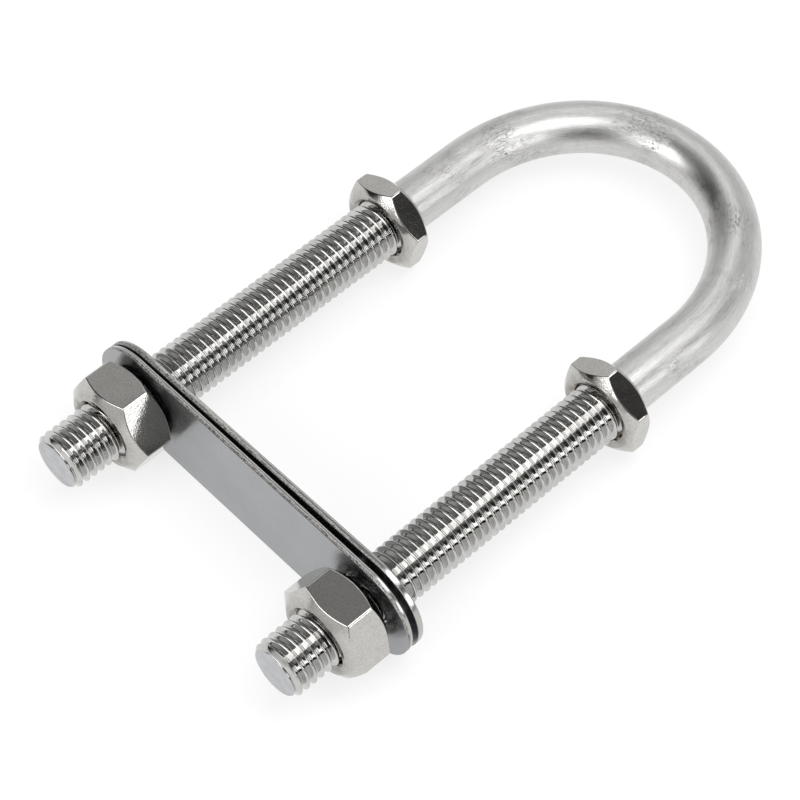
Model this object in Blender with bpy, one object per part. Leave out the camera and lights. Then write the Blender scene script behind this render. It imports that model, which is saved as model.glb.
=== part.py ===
"""Stainless U-bolt bow eye: a bent threaded rod, two clamp plates, two full nuts and two thin nuts.

The legs lie along X, their tips towards -X and the bend towards +X, one leg at +Y and one at -Y.
Distances along X are given from the start of the bend, and the finished part is shifted so that its
origin is under the middle of its overall box.
"""

from math import cos, pi, radians, sin, sqrt, tan

import bmesh
import bpy
from mathutils import Vector

MM = 0.001

# Rod and thread
LEG_SPACING = 60.0 * MM  # between the leg centres
ROD_DIAMETER = 10.7 * MM  # plain rod, at the thread's pitch diameter
THREAD_DIAMETER = 12.0 * MM
LEG_LENGTH = 107.0 * MM  # from the bend's centre line start to the tip
THREAD_LENGTH = 85.5 * MM
BEND_DEPTH = 34.0 * MM  # from the end of the legs to the top of the bend, on the rod's centre
TIP_CHAMFER = 1.0 * MM
ROD_SIDES = 28
BEND_STEPS = 40

# Nuts
FULL_NUT_FLATS = 19.0 * MM
FULL_NUT_HEIGHT = 10.0 * MM
THIN_NUT_FLATS = 18.0 * MM
THIN_NUT_HEIGHT = 6.0 * MM
NUT_FACE_RING = 1.1 * MM  # the flat left between the countersink and the corner chamfers
NUT_CHAMFER_ANGLE = radians(37.0)
COUNTERSINK_STEP = 0.6 * MM  # how far the countersink's mouth stands out from the bore
NUT_ROUND_SIDES = 48

# Plates
PLATE_LENGTH = 84.0 * MM
PLATE_WIDTH = 22.0 * MM
PLATE_THICKNESS = 1.5 * MM
PLATE_EDGE = 0.3 * MM
PLATE_HOLE_CLEARANCE = 0.5 * MM  # all round the thread
PLATE_GAP = 0.6 * MM  # between the two plates at their middle
OUTER_PLATE_SKEW = radians(0.7)
PLATE_END_STEPS = 16

# Fits and places along the legs
THREAD_CLEARANCE = 0.3 * MM  # all round, between a leg and a nut's bore
TIP_TO_INNER_PLATE = 21.3 * MM
LEFT_NUT_GAP = 0.3 * MM  # from the inner plate's face
RIGHT_NUT_GAP = 1.2 * MM
THIN_NUT_PAST_THREAD = 2.7 * MM  # how far each thin nut reaches beyond the thread's end

# How each nut happens to be turned, from one corner pointing outwards along the plates
LEFT_NUT_TURN = radians(-5.6)
RIGHT_NUT_TURN = radians(3.0)
LEFT_THIN_NUT_TURN = radians(-20.0)
RIGHT_THIN_NUT_TURN = radians(-29.3)

INNER_PLATE_X = TIP_TO_INNER_PLATE - LEG_LENGTH
OUTER_PLATE_X = INNER_PLATE_X + PLATE_THICKNESS + PLATE_GAP
THREAD_END_X = THREAD_LENGTH - LEG_LENGTH
NUT_BORE_RADIUS = THREAD_DIAMETER / 2.0 + THREAD_CLEARANCE
COUNTERSINK_RADIUS = NUT_BORE_RADIUS + COUNTERSINK_STEP
NUT_FACE_RADIUS = COUNTERSINK_RADIUS + NUT_FACE_RING
MIDDLE_X = (BEND_DEPTH + ROD_DIAMETER / 2.0 - LEG_LENGTH) / 2.0
AXIS_Z = PLATE_WIDTH / 2.0  # the height of the legs' centre lines above the plates' lower edges


def clear_scene():
    for item in list(bpy.data.objects):
        bpy.data.objects.remove(item, do_unlink=True)


def steel(name, colour, roughness):
    """A stainless steel finish of its own for each sub-part."""
    material = bpy.data.materials.new(name)
    material.use_nodes = True
    shader = material.node_tree.nodes["Principled BSDF"]
    shader.inputs["Base Color"].default_value = (*colour, 1.0)
    shader.inputs["Metallic"].default_value = 1.0
    shader.inputs["Roughness"].default_value = roughness
    return material


def new_object(name, mesh_maker, x=0.0, y=0.0, turn=0.0, skew=0.0):
    """Make an object on the level of the legs; turn is about X and skew about Z."""
    mesh = bpy.data.meshes.new(name)
    work = bmesh.new()
    mesh_maker(work)
    bmesh.ops.recalc_face_normals(work, faces=work.faces)
    work.to_mesh(mesh)
    work.free()
    item = bpy.data.objects.new(name, mesh)
    bpy.context.collection.objects.link(item)
    item.location = (x - MIDDLE_X, y, AXIS_Z)
    item.rotation_euler = (turn, 0.0, skew)
    return item


def finish(item, material, sharp_angle=radians(30.0)):
    item.data.materials.append(material)
    item.data.shade_smooth()
    item.data.set_sharp_from_angle(angle=sharp_angle)


def join_rings(work, rings):
    """Skin a list of vertex rings and close both ends."""
    for ring, following in zip(rings, rings[1:]):
        sides = len(ring)
        for i in range(sides):
            j = (i + 1) % sides
            work.faces.new((ring[i], ring[j], following[j], following[i]))
    work.faces.new(rings[0])
    work.faces.new(list(reversed(rings[-1])))


def turned_solid(work, stations, sides):
    """A solid of revolution about X, from (distance along X, radius) stations."""
    rings = []
    for x, radius in stations:
        angles = [2.0 * pi * i / sides for i in range(sides)]
        rings.append([work.verts.new((x, radius * cos(a), radius * sin(a))) for a in angles])
    join_rings(work, rings)


def leg_stations():
    """(x, radius) along one leg, from its tip to the start of the bend."""
    thread = THREAD_DIAMETER / 2.0
    rod = ROD_DIAMETER / 2.0
    return [
        (-LEG_LENGTH, thread - TIP_CHAMFER),
        (-LEG_LENGTH + TIP_CHAMFER, thread),
        (THREAD_END_X - (thread - rod), thread),
        (THREAD_END_X, rod),
    ]


def make_u_bolt(work):
    """Sweep a round section down one leg, round the bend and back up the other leg."""
    half_spacing = LEG_SPACING / 2.0
    path = [(Vector((x, half_spacing, 0.0)), Vector((1.0, 0.0, 0.0)), r) for x, r in leg_stations()]
    for step in range(BEND_STEPS + 1):
        angle = pi * step / BEND_STEPS
        centre = Vector((BEND_DEPTH * sin(angle), half_spacing * cos(angle), 0.0))
        along = Vector((BEND_DEPTH * cos(angle), -half_spacing * sin(angle), 0.0)).normalized()
        path.append((centre, along, ROD_DIAMETER / 2.0))
    for x, r in reversed(leg_stations()):
        path.append((Vector((x, -half_spacing, 0.0)), Vector((-1.0, 0.0, 0.0)), r))
    up = Vector((0.0, 0.0, 1.0))
    rings = []
    for centre, along, radius in path:
        across = up.cross(along)
        ring = []
        for i in range(ROD_SIDES):
            a = 2.0 * pi * i / ROD_SIDES
            ring.append(work.verts.new(centre + radius * (cos(a) * across + sin(a) * up)))
        rings.append(ring)
    join_rings(work, rings)


def plate_outline(length, width, steps):
    """(y, z) points round a plate with half-round ends."""
    radius = width / 2.0
    reach = length / 2.0 - radius
    points = []
    for side in (1.0, -1.0):
        for i in range(steps + 1):
            a = -pi / 2.0 + pi * i / steps
            points.append((side * (reach + radius * cos(a)), side * radius * sin(a)))
    return points


def make_plate(work):
    """A flat plate, its edges eased by rings that step in at both faces."""
    rings = []
    for x, inset in (
        (0.0, PLATE_EDGE),
        (PLATE_EDGE, 0.0),
        (PLATE_THICKNESS - PLATE_EDGE, 0.0),
        (PLATE_THICKNESS, PLATE_EDGE),
    ):
        outline = plate_outline(PLATE_LENGTH - 2.0 * inset, PLATE_WIDTH - 2.0 * inset, PLATE_END_STEPS)
        rings.append([work.verts.new((x, y, z)) for y, z in outline])
    join_rings(work, rings)


def make_plate_holes(work):
    """Two round cutters at the leg centres, longer than the plate is thick."""
    radius = THREAD_DIAMETER / 2.0 + PLATE_HOLE_CLEARANCE
    for y in (-LEG_SPACING / 2.0, LEG_SPACING / 2.0):
        before = set(work.verts)
        turned_solid(work, [(-PLATE_THICKNESS, radius), (2.0 * PLATE_THICKNESS, radius)], ROD_SIDES)
        bmesh.ops.translate(work, verts=[v for v in work.verts if v not in before], vec=(0.0, y, 0.0))


def hexagon_maker(flats, height):
    """A maker for the plain hexagonal bar that a nut is cut from, one corner along +Y."""

    def make(work):
        corner = flats / sqrt(3.0)
        turned_solid(work, [(0.0, corner), (height, corner)], 6)

    return make


def chamfer_maker(flats, height):
    """A maker for the round body that cuts the nut's corners back at both faces."""

    def make(work):
        outside = flats / sqrt(3.0) + NUT_FACE_RING
        slope = (outside - NUT_FACE_RADIUS) * tan(NUT_CHAMFER_ANGLE)
        stations = [
            (0.0, NUT_FACE_RADIUS),
            (slope, outside),
            (height - slope, outside),
            (height, NUT_FACE_RADIUS),
        ]
        turned_solid(work, stations, NUT_ROUND_SIDES)

    return make


def bore_maker(height):
    """A maker for the cutter of the nut's bore and its countersink at each face."""

    def make(work):
        past = COUNTERSINK_RADIUS + COUNTERSINK_STEP
        stations = [
            (-COUNTERSINK_STEP, past),
            (COUNTERSINK_STEP, NUT_BORE_RADIUS),
            (height - COUNTERSINK_STEP, NUT_BORE_RADIUS),
            (height + COUNTERSINK_STEP, past),
        ]
        turned_solid(work, stations, NUT_ROUND_SIDES)

    return make


def cut(item, cutter, operation):
    modifier = item.modifiers.new(cutter.name, "BOOLEAN")
    modifier.operation = operation
    modifier.object = cutter
    cutter.hide_render = True
    cutter.display_type = "WIRE"


def add_plate(name, x, skew, material):
    plate = new_object(name, make_plate, x, skew=skew)
    holes = new_object(name + "_holes", make_plate_holes, x, skew=skew)
    cut(plate, holes, "DIFFERENCE")
    finish(plate, material)


def add_nut(name, flats, height, x, y, turn, material):
    """A chamfered hexagonal nut with its first face at x, its origin on its leg's axis."""
    nut = new_object(name, hexagon_maker(flats, height), x, y, turn)
    rounding = new_object(name + "_rounding", chamfer_maker(flats, height), x, y, turn)
    bore = new_object(name + "_bore", bore_maker(height), x, y, turn)
    cut(nut, rounding, "INTERSECT")
    cut(nut, bore, "DIFFERENCE")
    finish(nut, material)


def build():
    clear_scene()
    u_bolt = new_object("u_bolt", make_u_bolt)
    finish(u_bolt, steel("u_bolt_steel", (0.62, 0.61, 0.59), 0.30))
    for name, x, skew in (
        ("inner_plate", INNER_PLATE_X, 0.0),
        ("outer_plate", OUTER_PLATE_X, OUTER_PLATE_SKEW),
    ):
        add_plate(name, x, skew, steel(name + "_steel", (0.55, 0.56, 0.56), 0.28))
    full_x = INNER_PLATE_X - FULL_NUT_HEIGHT
    thin_x = THREAD_END_X + THIN_NUT_PAST_THREAD - THIN_NUT_HEIGHT
    left = LEG_SPACING / 2.0
    full = (FULL_NUT_FLATS, FULL_NUT_HEIGHT)
    thin = (THIN_NUT_FLATS, THIN_NUT_HEIGHT)
    for name, size, x, y, turn in (
        ("left_full_nut", full, full_x - LEFT_NUT_GAP, left, LEFT_NUT_TURN),
        ("right_full_nut", full, full_x - RIGHT_NUT_GAP, -left, RIGHT_NUT_TURN),
        ("left_thin_nut", thin, thin_x, left, LEFT_THIN_NUT_TURN),
        ("right_thin_nut", thin, thin_x, -left, RIGHT_THIN_NUT_TURN),
    ):
        add_nut(name, *size, x, y, turn, steel(name + "_steel", (0.58, 0.56, 0.54), 0.22))


build()
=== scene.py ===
"""Looks of the stainless U-bolt eye: threads, nuts and clamp plates, their finishes and the studio."""

from math import atan2, cos, hypot, pi, radians, sin, sqrt, tan

import bpy
from mathutils import Matrix, Quaternion, Vector


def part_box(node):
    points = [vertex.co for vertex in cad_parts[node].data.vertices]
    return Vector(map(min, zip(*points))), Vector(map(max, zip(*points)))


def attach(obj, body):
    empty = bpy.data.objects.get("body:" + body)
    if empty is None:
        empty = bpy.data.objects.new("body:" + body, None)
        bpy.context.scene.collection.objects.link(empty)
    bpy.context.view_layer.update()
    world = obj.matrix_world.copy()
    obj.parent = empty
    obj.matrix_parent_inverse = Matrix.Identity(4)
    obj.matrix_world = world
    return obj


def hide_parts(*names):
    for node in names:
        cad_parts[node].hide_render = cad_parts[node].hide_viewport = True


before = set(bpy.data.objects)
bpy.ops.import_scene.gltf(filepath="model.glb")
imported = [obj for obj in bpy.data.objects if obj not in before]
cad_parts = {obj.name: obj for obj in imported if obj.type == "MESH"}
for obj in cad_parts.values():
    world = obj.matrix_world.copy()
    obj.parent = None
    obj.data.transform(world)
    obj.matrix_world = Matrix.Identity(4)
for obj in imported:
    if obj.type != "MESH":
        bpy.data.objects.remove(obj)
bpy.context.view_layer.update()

MM = 0.001
WELD = 0.001 * MM

# ---- Sizes taken from the part ----
bolt_low, bolt_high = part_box("u_bolt")
thin_nut_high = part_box("left_thin_nut")[1]
THREAD_RADIUS = (bolt_high.z - bolt_low.z) / 2.0
AXIS_Z = (bolt_high.z + bolt_low.z) / 2.0
LEG_Y = bolt_high.y - THREAD_RADIUS
TIP_X = bolt_low.x

# ---- Rod ----
ROD_RADIUS = 5.35 * MM
BEND_DEPTH = 34.0 * MM
BEND_X = bolt_high.x - ROD_RADIUS - BEND_DEPTH
ROD_STEPS = 200
ROD_SIDES = 64
# the rod reaches a little way into each stud, and its end ring is drawn in below the thread's root
ROD_OVERLAP = 2.5 * MM
ROD_END_STEP = 0.62 * MM

# ---- Thread ----
THREAD_PITCH = 1.75 * MM
THREAD_ROOT = 4.925 * MM
# half a pitch, from the round root up the 60 degree flank to the rolled crest:
# distance along the leg and radius, in millimetres
HALF_PITCH = (
    (0.0, 4.925),
    (0.10, 4.943),
    (0.19, 5.008),
    (0.26, 5.12),
    (0.62, 5.744),
    (0.675, 5.835),
    (0.735, 5.915),
    (0.80, 5.972),
    (0.875, 5.998),
)
THREAD_END_X = thin_nut_high.x - 2.7 * MM
THREAD_SEGMENTS = 40
THREAD_SPARE = 0.4 * MM
BLANK_SIDES = 96
BLANK_CLEARANCE = 0.1 * MM
TIP_CHAMFER = 1.0 * MM
RUN_OUT = 2.2 * MM
# where a crest crosses the +Y side of each leg, in the part's own frame
CREST_LEFT_X = -42.935 * MM
CREST_RIGHT_X = -41.255 * MM

# ---- Nuts ----
FULL_NUT_FLATS = 19.0 * MM
THIN_NUT_FLATS = 18.0 * MM
NUT_SIDES = 144
NUT_BORE_RADIUS = 6.06 * MM
COUNTERSINK_RADIUS = 6.9 * MM
NUT_FACE_RADIUS = 8.0 * MM
NUT_CHAMFER_ANGLE = radians(37.0)
NUT_CORNER_EASE = 0.35 * MM
NUT_EDGE_EASE = 0.15 * MM
NUT_SPARE = 1.0 * MM
# name, node, width across flats, turn about the leg in degrees
NUTS = (
    ("left_hex_nut", "left_full_nut", FULL_NUT_FLATS, -5.6),
    ("right_hex_nut", "right_full_nut", FULL_NUT_FLATS, 3.0),
    ("left_lock_nut", "left_thin_nut", THIN_NUT_FLATS, -20.0),
    ("right_lock_nut", "right_thin_nut", THIN_NUT_FLATS, -29.3),
)

# ---- Plates ----
PLATE_THICKNESS = 1.5 * MM
PLATE_SIDES = 128
HOLE_SIDES = 96
PLATE_HOLE_CLEARANCE = 0.5 * MM
PLATE_ROLLED_EASE = 0.5 * MM
PLATE_SHARP_EASE = 0.12 * MM
# name, node, skew on the legs in degrees
PLATES = (
    ("inner_clamp_plate", "inner_plate", 0.0),
    ("outer_clamp_plate", "outer_plate", 0.7),
)

# ---- Studio ----
# the room: a pale backdrop round the horizon, darker overhead, and the elevations between them
BACKDROP_LEVEL = 0.74
CEILING_LEVEL = 0.28
BACKDROP_TOP = radians(30.0)
CEILING_EDGE = radians(62.0)
# dark cards: direction from +X towards +Y, elevation, half width, half height, softness, brightness
CARDS = (
    (120.0, 28.0, 27.0, 36.0, 0.20, 0.04),
    (-53.0, 36.0, 8.0, 14.0, 0.05, 0.05),
    (-70.0, 6.0, 14.0, 8.0, 0.03, 0.02),
    (-130.0, 18.0, 20.0, 27.0, 0.12, 0.08),
)
# name, centre, point faced, width, height, brightness, seen in the metal
SOFT_BOXES = (
    ("overhead", (0.0, -0.1, 1.2), (0.0, -0.1, 0.0), 1.2, 1.2, 1.2, False),
    ("upper_soft_box", (0.0765, -0.105, 0.327), (0.0765, -0.105, 0.0), 0.245, 0.190, 2.5, True),
    ("strip_soft_box", (0.1405, -0.5, 0.231), (0.1405, 0.0, 0.231), 0.287, 0.250, 2.5, True),
    ("end_soft_box", (-0.266, 0.036, 0.214), (0.0, 0.036, 0.214), 0.268, 0.232, 2.6, True),
    ("far_ceiling", (0.247, 0.180, 0.327), (0.247, 0.180, 0.0), 0.175, 0.240, 0.95, True),
)
TABLE_WIDTH = 6.0
TABLE_GAP = 0.05 * MM
TABLE_TONE = 0.2
TABLE_GLOW = 0.77
CAMERA_SENSOR = 36.0
CAMERA_LENS = 123.949
CAMERA_AIM = Vector((-0.01612, -0.00271, 0.011))
CAMERA_DISTANCE = 0.52141
CAMERA_AZIMUTH = radians(-136.297)
CAMERA_ELEVATION = radians(55.267)
CAMERA_ROLL = radians(3.002)

# stands a body made about Z along X instead: its X becomes Y, and its Y becomes Z
Z_TO_X = Matrix(((0.0, 0.0, 1.0), (1.0, 0.0, 0.0), (0.0, 1.0, 0.0))).to_4x4()
UP = Vector((0.0, 0.0, 1.0))


# ---- Small modelling helpers ----
def deselect():
    if bpy.context.mode != "OBJECT":
        bpy.ops.object.mode_set(mode="OBJECT")
    bpy.ops.object.select_all(action="DESELECT")


def make_active(item):
    deselect()
    item.select_set(True)
    bpy.context.view_layer.objects.active = item


def edit(item, kind="VERT", action="SELECT"):
    make_active(item)
    bpy.ops.object.mode_set(mode="EDIT")
    bpy.ops.mesh.select_mode(type=kind)
    bpy.ops.mesh.select_all(action=action)


def close_edit():
    bpy.ops.object.mode_set(mode="OBJECT")


def select_where(item, kind, wanted):
    """Leave only the wanted edges or faces selected, with the piece open for editing."""
    edit(item, kind, "DESELECT")
    close_edit()
    for element in item.data.edges if kind == "EDGE" else item.data.polygons:
        element.select = wanted(element)
    bpy.ops.object.mode_set(mode="EDIT")


def drawn_line(name, points):
    """An open line of points, drawn for spinning or screwing."""
    mesh = bpy.data.meshes.new(name)
    mesh.from_pydata(points, [(i, i + 1) for i in range(len(points) - 1)], [])
    item = bpy.data.objects.new(name, mesh)
    bpy.context.collection.objects.link(item)
    return item


def turned(name, stations, sides):
    """Spin a line of (height, radius) stations round Z to a closed body."""
    item = drawn_line(name, [(r, 0.0, z) for z, r in stations])
    edit(item)
    bpy.ops.mesh.spin(steps=sides, angle=2.0 * pi, center=(0.0, 0.0, 0.0), axis=(0.0, 0.0, 1.0))
    bpy.ops.mesh.select_all(action="SELECT")
    bpy.ops.mesh.remove_doubles(threshold=WELD)
    bpy.ops.mesh.normals_make_consistent(inside=False)
    close_edit()
    return item


def cylinder(sides, radius, depth, centre=(0.0, 0.0, 0.0)):
    deselect()
    bpy.ops.mesh.primitive_cylinder_add(vertices=sides, radius=radius, depth=depth, location=centre)
    return bpy.context.active_object


def apply_modifiers(item):
    make_active(item)
    for modifier in list(item.modifiers):
        bpy.ops.object.modifier_apply(modifier=modifier.name)


def boolean(item, other, operation):
    """Join, cut or keep what the two bodies share, and use the other one up."""
    modifier = item.modifiers.new("cut", "BOOLEAN")
    modifier.operation = operation
    modifier.solver = "MANIFOLD"
    modifier.object = other
    apply_modifiers(item)
    bpy.data.objects.remove(other, do_unlink=True)


def ease_selected(width, segments):
    """Round over the selected edges of the piece that is open, and close it."""
    bpy.ops.mesh.bevel(offset=width, segments=segments, profile=0.5, affect="EDGES", loop_slide=False)
    close_edit()


def lay_along_x(item, x, y, turn=0.0):
    """Lay a body made about Z along the leg at y, its base at x; turn is from +Y towards +Z."""
    place = Matrix.Translation((x, y, AXIS_Z))
    item.data.transform(place @ Z_TO_X @ Matrix.Rotation(turn, 4, "Z"))


def smooth(item, angle, flat_faces=False):
    make_active(item)
    bpy.ops.object.shade_smooth_by_angle(angle=radians(angle))
    if flat_faces:
        weighted = item.modifiers.new("flat", "WEIGHTED_NORMAL")
        weighted.mode = "FACE_AREA"
        weighted.weight = 100
        weighted.keep_sharp = True
        apply_modifiers(item)


# ---- The threaded U-bolt ----
def thread_profile():
    """One pitch of the thread from root to root, as (distance along the leg, radius) in millimetres."""
    pitch = THREAD_PITCH / MM
    return list(HALF_PITCH) + [(pitch - along, radius) for along, radius in reversed(HALF_PITCH[:-1])]


def thread_blank(name, y):
    """The outline that a thread is trimmed to: a tip chamfer, and a cone where it runs out."""
    length = THREAD_END_X - TIP_X
    over = THREAD_RADIUS + BLANK_CLEARANCE
    blank = turned(
        name,
        [
            (0.0, 0.0),
            (0.0, THREAD_RADIUS - TIP_CHAMFER),
            (TIP_CHAMFER, THREAD_RADIUS),
            (TIP_CHAMFER + BLANK_CLEARANCE, over),
            (length - RUN_OUT, over),
            (length, ROD_RADIUS - BLANK_CLEARANCE),
            (length, 0.0),
        ],
        BLANK_SIDES,
    )
    lay_along_x(blank, TIP_X, y)
    return blank


def threaded_stud(name, y, crest_x):
    """A length of right-hand thread, chamfered at the tip and run out where the plain rod begins."""
    turns_before = int((crest_x - TIP_X) / THREAD_PITCH) + 3
    start_x = crest_x - THREAD_PITCH / 2.0 - turns_before * THREAD_PITCH
    stud = drawn_line(name, [(radius * MM, 0.0, along * MM) for along, radius in thread_profile()])
    screw = stud.modifiers.new("thread", "SCREW")
    screw.axis = "Z"
    screw.angle = 2.0 * pi
    screw.screw_offset = THREAD_PITCH
    screw.steps = THREAD_SEGMENTS
    screw.render_steps = THREAD_SEGMENTS
    screw.iterations = int((THREAD_END_X - start_x) / THREAD_PITCH) + 3
    screw.use_merge_vertices = True
    screw.merge_threshold = WELD
    apply_modifiers(stud)
    lay_along_x(stud, start_x, y)
    edit(stud)
    bpy.ops.mesh.remove_doubles(threshold=WELD)
    for cut_x, outer in ((TIP_X - THREAD_SPARE, False), (THREAD_END_X + THREAD_SPARE, True)):
        bpy.ops.mesh.select_all(action="SELECT")
        bpy.ops.mesh.bisect(
            plane_co=(cut_x, 0.0, 0.0),
            plane_no=(1.0, 0.0, 0.0),
            use_fill=True,
            clear_inner=not outer,
            clear_outer=outer,
            threshold=0.1 * WELD,
        )
    bpy.ops.mesh.select_all(action="SELECT")
    bpy.ops.mesh.normals_make_consistent(inside=False)
    close_edit()
    boolean(stud, thread_blank(name + "_blank", y), "INTERSECT")
    return stud


def rod_path(share):
    """Centre and direction at a share of the way round, from the left leg to the right."""
    start_x = THREAD_END_X - ROD_OVERLAP
    straight = BEND_X - start_x
    half_bend = pi / 2.0 * sqrt((BEND_DEPTH**2 + LEG_Y**2) / 2.0)
    total = 2.0 * (straight + half_bend)
    along = share * total
    if along < straight:
        return Vector((start_x + along, LEG_Y, AXIS_Z)), Vector((1.0, 0.0, 0.0))
    if along > total - straight:
        return Vector((start_x + total - along, -LEG_Y, AXIS_Z)), Vector((-1.0, 0.0, 0.0))
    angle = pi * (along - straight) / (2.0 * half_bend)
    centre = Vector((BEND_X + BEND_DEPTH * sin(angle), LEG_Y * cos(angle), AXIS_Z))
    return centre, Vector((BEND_DEPTH * cos(angle), -LEG_Y * sin(angle), 0.0)).normalized()


def bent_rod(name):
    """A sheet of squares wrapped to a tube along the bend, so its own UV map runs along the rod."""
    bpy.ops.mesh.primitive_grid_add(x_subdivisions=ROD_STEPS, y_subdivisions=ROD_SIDES, size=1.0)
    rod = bpy.context.active_object
    rod.name = name
    for vertex in rod.data.vertices:
        share = vertex.co.x + 0.5
        around = 2.0 * pi * (vertex.co.y + 0.5)
        centre, along = rod_path(share)
        at_end = min(share, 1.0 - share) * ROD_STEPS < 0.5
        radius = ROD_RADIUS - ROD_END_STEP if at_end else ROD_RADIUS
        vertex.co = centre + radius * (cos(around) * UP.cross(along) + sin(around) * UP)
    edit(rod)
    bpy.ops.mesh.remove_doubles(threshold=WELD)
    bpy.ops.mesh.select_all(action="DESELECT")
    bpy.ops.mesh.select_non_manifold()
    bpy.ops.mesh.edge_face_add()
    bpy.ops.mesh.select_all(action="SELECT")
    bpy.ops.mesh.normals_make_consistent(inside=False)
    close_edit()
    return rod


def make_u_bolt():
    """The bent rod with a stud grown on each leg; faces are numbered 0 rod, 1 thread, 2 leg end."""
    bolt = bent_rod("threaded_u_bolt")
    for y, crest_x in ((LEG_Y, CREST_LEFT_X), (-LEG_Y, CREST_RIGHT_X)):
        boolean(bolt, threaded_stud("stud", y, crest_x), "UNION")
    edit(bolt)
    bpy.ops.mesh.remove_doubles(threshold=2.0 * WELD)
    close_edit()
    for face in bolt.data.polygons:
        out = hypot(abs(face.center.y) - LEG_Y, face.center.z - AXIS_Z)
        if face.normal.x < -0.9 and face.center.x < TIP_X + 0.01 * MM:
            face.material_index = 2
        elif face.center.x < THREAD_END_X and out > THREAD_ROOT - 0.1 * MM:
            face.material_index = 1
        else:
            face.material_index = 0
    return bolt


# ---- The nuts ----
def hexagonal_bar(corner_radius, height):
    """A bar with eased corners, longer than the nut to be cut from it."""
    bar = cylinder(6, corner_radius, 3.0 * height)
    # the first corner points along Y, so it is brought round to X before the nut is laid down
    bar.data.transform(Matrix.Translation((0.0, 0.0, height / 2.0)) @ Matrix.Rotation(-pi / 2.0, 4, "Z"))
    corners = bar.data.vertices

    def upright(edge):
        low, high = (corners[i].co.z for i in edge.vertices)
        return abs(high - low) > height

    select_where(bar, "EDGE", upright)
    ease_selected(NUT_CORNER_EASE, 3)
    return bar


def hex_nut(name, node, flats, turn):
    """A chamfered hexagonal nut with eased corners and a countersunk bore, at its node's place."""
    low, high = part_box(node)
    height = high.x - low.x
    corner_radius = flats / sqrt(3.0)
    sink = COUNTERSINK_RADIUS - NUT_BORE_RADIUS
    outside = corner_radius + NUT_SPARE
    slope = (outside - NUT_FACE_RADIUS) * tan(NUT_CHAMFER_ANGLE)
    nut = turned(
        name,
        [
            (0.0, COUNTERSINK_RADIUS),
            (0.0, NUT_FACE_RADIUS),
            (slope, outside),
            (height - slope, outside),
            (height, NUT_FACE_RADIUS),
            (height, COUNTERSINK_RADIUS),
            (height - sink, NUT_BORE_RADIUS),
            (sink, NUT_BORE_RADIUS),
            (0.0, COUNTERSINK_RADIUS),
        ],
        NUT_SIDES,
    )
    boolean(nut, hexagonal_bar(corner_radius, height), "INTERSECT")
    bevel = nut.modifiers.new("eased", "BEVEL")
    bevel.width = NUT_EDGE_EASE
    bevel.segments = 3
    bevel.limit_method = "ANGLE"
    bevel.angle_limit = radians(27.0)
    apply_modifiers(nut)
    lay_along_x(nut, low.x, LEG_Y if low.y > 0.0 else -LEG_Y, turn)
    smooth(nut, 35, flat_faces=True)
    return nut


# ---- The plates ----
def clamp_plate(name, node, skew):
    """A punched plate, one face's rim rolled over and the other's left sharp; its rim is numbered 1."""
    low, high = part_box(node)
    half_width = (high.z - low.z) / 2.0
    half_length = (high.y - low.y) / 2.0 / cos(skew) - PLATE_THICKNESS / 2.0 * sin(skew)
    plate = cylinder(PLATE_SIDES, half_width, PLATE_THICKNESS)
    plate.name = name
    # turned by half a side, so that no corner lies on the line where the round is drawn apart
    plate.data.transform(Matrix.Rotation(pi / PLATE_SIDES, 4, "Z"))
    reach = half_length - half_width
    for vertex in plate.data.vertices:
        vertex.co.x += reach if vertex.co.x > 0.0 else -reach
    hole_radius = THREAD_RADIUS + PLATE_HOLE_CLEARANCE
    for y in (-LEG_Y, LEG_Y):
        boolean(plate, cylinder(HOLE_SIDES, hole_radius, 3.0 * PLATE_THICKNESS, (y, 0.0, 0.0)), "DIFFERENCE")
    for side, ease, segments in ((0.5, PLATE_ROLLED_EASE, 5), (-0.5, PLATE_SHARP_EASE, 2)):
        level = side * PLATE_THICKNESS
        select_where(plate, "FACE", lambda face: abs(face.center.z - level) < WELD)
        bpy.ops.mesh.region_to_loop()
        ease_selected(ease, segments)
    for face in plate.data.polygons:
        face.material_index = 1 if abs(face.normal.z) < 0.35 else 0
    place = Matrix.Translation((low + high) / 2.0) @ Matrix.Rotation(skew, 4, "Z")
    plate.data.transform(place @ Z_TO_X)
    smooth(plate, 30, flat_faces=True)
    return plate


# ---- Building a finish or a room from nodes ----
class NodeWork:
    """One node tree being put together, one node after another."""

    def __init__(self, tree):
        self.tree = tree

    def node(self, kind, **settings):
        made = self.tree.nodes.new(kind)
        for key, value in settings.items():
            setattr(made, key, value)
        return made

    def link(self, source, socket):
        if isinstance(source, (int, float, tuple)):
            socket.default_value = source
        else:
            self.tree.links.new(source, socket)

    def math(self, operation, a, b=0.0, clamp=False):
        made = self.node("ShaderNodeMath", operation=operation, use_clamp=clamp)
        self.link(a, made.inputs[0])
        self.link(b, made.inputs[1])
        return made.outputs[0]

    def range(self, source, low, high, to_low=0.0, to_high=1.0, curve="LINEAR"):
        made = self.node("ShaderNodeMapRange", interpolation_type=curve)
        self.link(source, made.inputs["Value"])
        made.inputs["From Min"].default_value = low
        made.inputs["From Max"].default_value = high
        made.inputs["To Min"].default_value = to_low
        made.inputs["To Max"].default_value = to_high
        return made.outputs["Result"]


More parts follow.
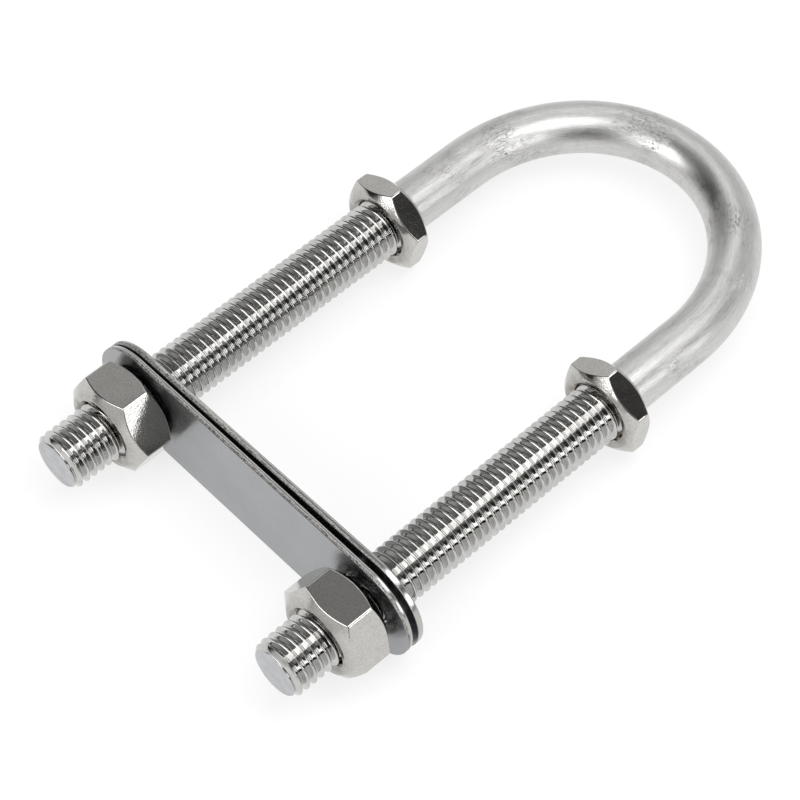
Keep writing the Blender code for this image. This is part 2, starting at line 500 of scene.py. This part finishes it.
class Finish(NodeWork):
    """A finish for one kind of surface, metal unless it is told otherwise."""

    def __init__(self, name, colour, roughness):
        self.material = bpy.data.materials.new(name)
        self.material.use_nodes = True
        super().__init__(self.material.node_tree)
        self.shader = self.tree.nodes["Principled BSDF"]
        self.shader.inputs["Metallic"].default_value = 1.0
        self.shader.inputs["Base Color"].default_value = (*colour, 1.0)
        self.shader.inputs["Roughness"].default_value = roughness
        self.place = self.node("ShaderNodeTexCoord").outputs["Object"]

    def stretch(self, source, scale, turn=(0.0, 0.0, 0.0)):
        made = self.node("ShaderNodeMapping")
        self.link(source, made.inputs["Vector"])
        made.inputs["Scale"].default_value = scale
        made.inputs["Rotation"].default_value = turn
        return made.outputs["Vector"]

    def noise(self, source, scale, detail=3.0, roughness=0.55, distortion=0.0):
        made = self.node("ShaderNodeTexNoise")
        self.link(source, made.inputs["Vector"])
        made.inputs["Scale"].default_value = scale
        made.inputs["Detail"].default_value = detail
        made.inputs["Roughness"].default_value = roughness
        made.inputs["Distortion"].default_value = distortion
        return made.outputs["Fac"]

    def spots(self, source):
        made = self.node("ShaderNodeTexVoronoi")
        self.link(source, made.inputs["Vector"])
        made.inputs["Scale"].default_value = 1.0
        return made.outputs["Distance"]

    def mix(self, share, a, b):
        made = self.node("ShaderNodeMix", data_type="RGBA")
        self.link(share, made.inputs["Factor"])
        for value, socket in ((a, made.inputs[6]), (b, made.inputs[7])):
            self.link((*value, 1.0) if isinstance(value, tuple) else value, socket)
        return made.outputs[2]

    def weighted(self, a, share_a, b, share_b):
        return self.math("ADD", self.math("MULTIPLY", a, share_a), self.math("MULTIPLY", b, share_b))

    def axes(self):
        made = self.node("ShaderNodeSeparateXYZ")
        self.link(self.place, made.inputs[0])
        return made.outputs

    def reach_from_leg(self):
        """Distance from the axis of the nearer leg."""
        _, y, z = self.axes()
        out = self.math("SUBTRACT", self.math("ABSOLUTE", y), LEG_Y)
        up = self.math("SUBTRACT", z, AXIS_Z)
        squares = self.math("ADD", self.math("MULTIPLY", out, out), self.math("MULTIPLY", up, up))
        return self.math("SQRT", squares)

    def bump(self, height, strength, distance, below=None):
        made = self.node("ShaderNodeBump")
        self.link(height, made.inputs["Height"])
        made.inputs["Strength"].default_value = strength
        made.inputs["Distance"].default_value = distance
        if below is not None:
            self.link(below, made.inputs["Normal"])
        return made.outputs["Normal"]

    def colour(self, source):
        self.link(source, self.shader.inputs["Base Color"])

    def roughness(self, source):
        self.link(source, self.shader.inputs["Roughness"])

    def normal(self, source):
        self.link(source, self.shader.inputs["Normal"])


# ---- Finishes ----
def drawn_rod_finish():
    """Satin rod: broken marks along its length, a mottled grain, scuffs and dark pits."""
    f = Finish("satin_drawn_rod", (0.60, 0.597, 0.585), 0.36)
    own = f.node("ShaderNodeUVMap").outputs["UV"]
    streaks = f.noise(f.stretch(own, (30.0, 110.0, 1.0)), 1.0, 4.0, 0.65)
    fine = f.noise(f.stretch(own, (120.0, 420.0, 1.0)), 1.0, 3.0, 0.65)
    cloud = f.noise(f.place, 90.0, 4.0, 0.6)
    # pits and scuffs gather where the rod was handled, and are left out elsewhere
    worn = f.range(f.noise(f.place, 80.0, 3.0, 0.6), 0.50, 0.62)
    pits = f.range(f.spots(f.stretch(own, (120.0, 60.0, 1.0))), 0.08, 0.25, 1.0, 0.0)
    chosen = f.range(f.noise(f.place, 700.0, 2.0, 0.6), 0.44, 0.54)
    pitted = f.math("MULTIPLY", f.math("MULTIPLY", pits, worn), chosen)
    crease = f.noise(f.stretch(own, (60.0, 40.0, 1.0)), 1.0, 4.0, 0.7, 1.5)
    off_crease = f.math("ABSOLUTE", f.math("SUBTRACT", crease, 0.5))
    scuff = f.math("MULTIPLY", f.range(off_crease, 0.0, 0.03, 1.0, 0.0), worn)
    mark = f.math("MAXIMUM", pitted, f.math("MULTIPLY", scuff, 0.85))
    tone = f.weighted(streaks, 0.5, fine, 0.5)
    base = f.mix(f.range(tone, 0.36, 0.62), (0.47, 0.467, 0.455), (0.68, 0.677, 0.665))
    f.colour(f.mix(mark, base, (0.13, 0.125, 0.12)))
    f.roughness(f.math("ADD", f.range(cloud, 0.3, 0.7, 0.29, 0.37), f.range(fine, 0.3, 0.7, -0.05, 0.06)))
    grain = f.weighted(streaks, 0.6, fine, 0.4)
    f.normal(f.bump(mark, 0.4, 0.1 * MM, f.bump(grain, 0.6, 0.1 * MM)))
    return f.material


def rolled_thread_finish():
    """Bright rolled thread, with painted shade deep in the roots."""
    f = Finish("bright_rolled_thread", (0.54, 0.535, 0.52), 0.08)
    # painted shade: faces deep in the thread's roots are coloured towards near black
    root = f.range(f.reach_from_leg(), THREAD_ROOT, THREAD_ROOT + 0.12 * MM, 1.0, 0.0)
    patch = f.noise(f.place, 400.0, 3.0)
    base = f.mix(f.range(patch, 0.35, 0.65), (0.48, 0.477, 0.465), (0.58, 0.577, 0.565))
    f.colour(f.mix(f.math("MULTIPLY", root, 0.45), base, (0.10, 0.098, 0.095)))
    f.roughness(f.range(f.noise(f.place, 1200.0, 2.0), 0.3, 0.7, 0.03, 0.07))
    f.normal(f.bump(f.noise(f.place, 1800.0, 3.0), 0.08, 0.03 * MM))
    return f.material


def sawn_end_finish():
    """Flat leg ends, faced off to a pale matt grey."""
    f = Finish("sawn_leg_end", (0.50, 0.51, 0.52), 0.5)
    cloud = f.noise(f.place, 500.0, 3.0)
    f.colour(f.mix(f.range(cloud, 0.35, 0.65), (0.47, 0.48, 0.49), (0.55, 0.56, 0.57)))
    f.roughness(f.range(f.noise(f.place, 2000.0, 2.0), 0.3, 0.7, 0.42, 0.56))
    f.normal(f.bump(f.noise(f.place, 2500.0, 2.0), 0.10, 0.04 * MM))
    return f.material


def nut_finish(name):
    """Bright nut flats with a lightly hammered grain, fine scratches and painted shade round the bore."""
    pale = (0.56, 0.55, 0.525)
    dark = tuple(0.8 * c for c in pale)
    f = Finish(name, pale, 0.12)
    broad = f.noise(f.place, 130.0, 1.0, 0.4)
    coarse = f.noise(f.place, 2600.0, 3.0, 0.6)
    fine = f.noise(f.place, 2600.0, 2.0, 0.5)
    scratch = f.noise(f.stretch(f.place, (300.0, 4000.0, 4000.0), (0.3, 0.2, 0.5)), 1.0, 2.0, 0.5)
    blotch = f.range(f.noise(f.place, 260.0, 3.0, 0.6), 0.35, 0.7)
    speck = f.range(coarse, 0.40, 0.62, 0.0, 0.7)
    steel = f.mix(f.math("ADD", f.math("MULTIPLY", blotch, 0.25), speck, clamp=True), pale, dark)
    # painted shade: round the bore the colour is drawn in blotches towards a dark warm brown
    near_bore = f.range(f.reach_from_leg(), 6.6 * MM, 9.2 * MM, 1.0, 0.0)
    painted_bore_shade = f.range(f.noise(f.place, 420.0, 4.0, 0.65), 0.36, 0.62, 0.25, 0.85)
    f.colour(f.mix(f.math("MULTIPLY", near_bore, painted_bore_shade), steel, (0.22, 0.20, 0.175)))
    f.roughness(f.range(f.math("ADD", fine, scratch), 0.7, 1.3, 0.06, 0.12))
    hammered = f.bump(coarse, 0.6, 0.024 * MM, f.bump(broad, 0.22, 0.4 * MM))
    f.normal(f.bump(scratch, 0.05, 0.03 * MM, hammered))
    return f.material


def plate_finish(name):
    """Rolled sheet with a soft satin and faint lines along its length."""
    pale = (0.34, 0.347, 0.355)
    dark = tuple(0.9 * c for c in pale)
    f = Finish(name, pale, 0.24)
    lines = f.noise(f.stretch(f.place, (2500.0, 60.0, 2500.0)), 1.0, 3.0, 0.6)
    cloud = f.noise(f.place, 120.0, 3.0)
    f.colour(f.mix(f.range(cloud, 0.35, 0.65), dark, pale))
    f.roughness(f.math("ADD", f.range(cloud, 0.3, 0.7, 0.18, 0.26), f.range(lines, 0.3, 0.7, 0.0, 0.04)))
    f.normal(f.bump(lines, 0.12, 0.03 * MM))
    return f.material


def sheared_edge_finish(name, low_x, high_x):
    """The punched rim: burnished by the die along one side, torn along the other, where its near-black
    mottle is partly the fracture's own grit and partly painted shade of the gap between the plates.
    """
    f = Finish(name, (0.40, 0.395, 0.385), 0.25)
    depth = f.range(f.axes()[0], low_x, high_x)
    wander = f.noise(f.place, 350.0, 3.0, 0.6)
    torn = f.range(f.math("ADD", depth, f.math("MULTIPLY", wander, 0.3)), 0.48, 0.66, 1.0, 0.0)
    grit = f.noise(f.place, 3200.0, 4.0, 0.7)
    drag = f.noise(f.stretch(f.place, (300.0, 3000.0, 3000.0)), 1.0, 3.0, 0.6)
    # partly painted shade: the torn side is mottled down to near black, for the fracture's grit and for the
    # shade of the gap between the plates
    torn_grit_and_shade = f.mix(f.range(grit, 0.42, 0.58), (0.10, 0.097, 0.09), (0.46, 0.45, 0.43))
    f.colour(f.mix(torn, (0.46, 0.455, 0.44), torn_grit_and_shade))
    f.roughness(f.range(torn, 0.0, 1.0, 0.20, 0.42))
    f.normal(f.bump(f.math("MULTIPLY", grit, torn), 0.8, 0.12 * MM, f.bump(drag, 0.25, 0.03 * MM)))
    return f.material


def white_table_finish():
    """A white table top with a glow of its own."""
    f = Finish("white_table", (TABLE_TONE, TABLE_TONE, TABLE_TONE), 0.9)
    f.shader.inputs["Emission Color"].default_value = (1.0, 1.0, 1.0, 1.0)
    f.shader.inputs["Emission Strength"].default_value = TABLE_GLOW
    f.shader.inputs["Metallic"].default_value = 0.0
    f.shader.inputs["Specular IOR Level"].default_value = 0.0
    return f.material


def dress(item, *materials):
    """Give a piece these finishes alone, each face keeping the number of its own."""
    chosen = [face.material_index for face in item.data.polygons]
    item.data.materials.clear()
    for material in materials:
        item.data.materials.append(material)
    for face, number in zip(item.data.polygons, chosen):
        face.material_index = min(number, len(materials) - 1)


# ---- Studio ----
def direction(azimuth, elevation):
    """The unit vector that points this way, both angles in radians."""
    level = cos(elevation)
    return Vector((level * cos(azimuth), level * sin(azimuth), sin(elevation)))


def studio_surroundings():
    """A pale room with dark cards round the part, as seen in its polished sides."""
    world = bpy.data.worlds.new("studio")
    bpy.context.scene.world = world
    world.use_nodes = True
    world.node_tree.nodes.clear()
    w = NodeWork(world.node_tree)
    view = w.node("ShaderNodeTexCoord").outputs["Generated"]

    def along(way):
        made = w.node("ShaderNodeVectorMath", operation="DOT_PRODUCT")
        w.link(view, made.inputs[0])
        made.inputs[1].default_value = way
        return made.outputs["Value"]

    def within(side, ahead, half_angle, softness):
        offset = w.math("ABSOLUTE", w.math("DIVIDE", along(side), ahead))
        edge = tan(radians(half_angle))
        return w.range(offset, edge - softness, edge + softness, 1.0, 0.0, "SMOOTHSTEP")

    low, high = sin(BACKDROP_TOP), sin(CEILING_EDGE)
    level = w.range(along(UP), low, high, BACKDROP_LEVEL, CEILING_LEVEL, "SMOOTHSTEP")
    for azimuth, elevation, half_wide, half_high, softness, brightness in CARDS:
        out = direction(radians(azimuth), radians(elevation))
        side = Vector((-sin(radians(azimuth)), cos(radians(azimuth)), 0.0))
        ahead = w.math("MAXIMUM", along(out), 0.0001)
        wide = within(side, ahead, half_wide, softness)
        tall = within(side.cross(out), ahead, half_high, softness)
        card = w.node("ShaderNodeMix")
        w.link(w.math("MULTIPLY", wide, tall), card.inputs[0])
        w.link(level, card.inputs[2])
        w.link(brightness, card.inputs[3])
        level = card.outputs[0]
    shine = w.node("ShaderNodeBackground")
    shine.inputs["Color"].default_value = (1.0, 1.0, 1.0, 1.0)
    w.link(level, shine.inputs["Strength"])
    w.link(shine.outputs[0], w.node("ShaderNodeOutputWorld").inputs["Surface"])


def pale_floor():
    """A white table under the part, which lies on its plates' lower edges and the thin nuts' corners."""
    plate_low, plate_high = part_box("outer_plate")
    nut_low_z = min(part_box(node)[0].z for node in ("left_thin_nut", "right_thin_nut"))
    lean = atan2(nut_low_z - plate_low.z, thin_nut_high.x - plate_high.x)
    deselect()
    bpy.ops.mesh.primitive_plane_add(size=TABLE_WIDTH)
    floor = bpy.context.active_object
    floor.name = "table_top"
    touch = Vector((plate_high.x, 0.0, plate_low.z - TABLE_GAP))
    floor.data.transform(Matrix.Translation(touch) @ Matrix.Rotation(-lean, 4, "Y"))
    dress(floor, white_table_finish())


def soft_box(name, centre, aim, width, height, brightness, mirrored):
    """A flat panel of even brightness, facing the aim point."""
    lamp = bpy.data.lights.new(name, "AREA")
    lamp.shape = "RECTANGLE"
    lamp.size = width
    lamp.size_y = height
    lamp.energy = 4.0 * brightness * width * height
    item = bpy.data.objects.new(name, lamp)
    bpy.context.collection.objects.link(item)
    item.location = centre
    item.rotation_euler = (Vector(aim) - Vector(centre)).to_track_quat("-Z", "Y").to_euler()
    item.visible_camera = False
    item.visible_glossy = mirrored


def place_camera():
    data = bpy.data.cameras.new("camera")
    data.sensor_width = CAMERA_SENSOR
    data.lens = CAMERA_LENS
    data.dof.use_dof = False
    data.clip_start = 0.01
    data.clip_end = 50.0
    item = bpy.data.objects.new("camera", data)
    bpy.context.collection.objects.link(item)
    back = direction(CAMERA_AZIMUTH, CAMERA_ELEVATION)
    item.location = CAMERA_AIM + CAMERA_DISTANCE * back
    turn = (-back).to_track_quat("-Z", "Y") @ Quaternion((0.0, 0.0, 1.0), CAMERA_ROLL)
    item.rotation_euler = turn.to_euler()
    bpy.context.scene.camera = item


# ---- Putting it together ----
def fit_piece(item, node):
    """Let a piece ride on its node's body and stand in for that node."""
    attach(item, node)
    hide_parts(node)


def build():
    rod_steel = drawn_rod_finish()
    thread_steel = rolled_thread_finish()
    bolt = make_u_bolt()
    dress(bolt, rod_steel, thread_steel, sawn_end_finish())
    smooth(bolt, 40)
    fit_piece(bolt, "u_bolt")
    for name, node, flats, turn in NUTS:
        nut = hex_nut(name, node, flats, radians(turn))
        dress(nut, nut_finish(name + "_steel"))
        fit_piece(nut, node)
    for name, node, skew in PLATES:
        plate = clamp_plate(name, node, radians(skew))
        low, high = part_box(node)
        dress(plate, plate_finish(name + "_steel"), sheared_edge_finish(name + "_rim", low.x, high.x))
        fit_piece(plate, node)
    studio_surroundings()
    for settings in SOFT_BOXES:
        soft_box(*settings)
    pale_floor()
    place_camera()
    bpy.context.scene.view_settings.view_transform = "Standard"


build()
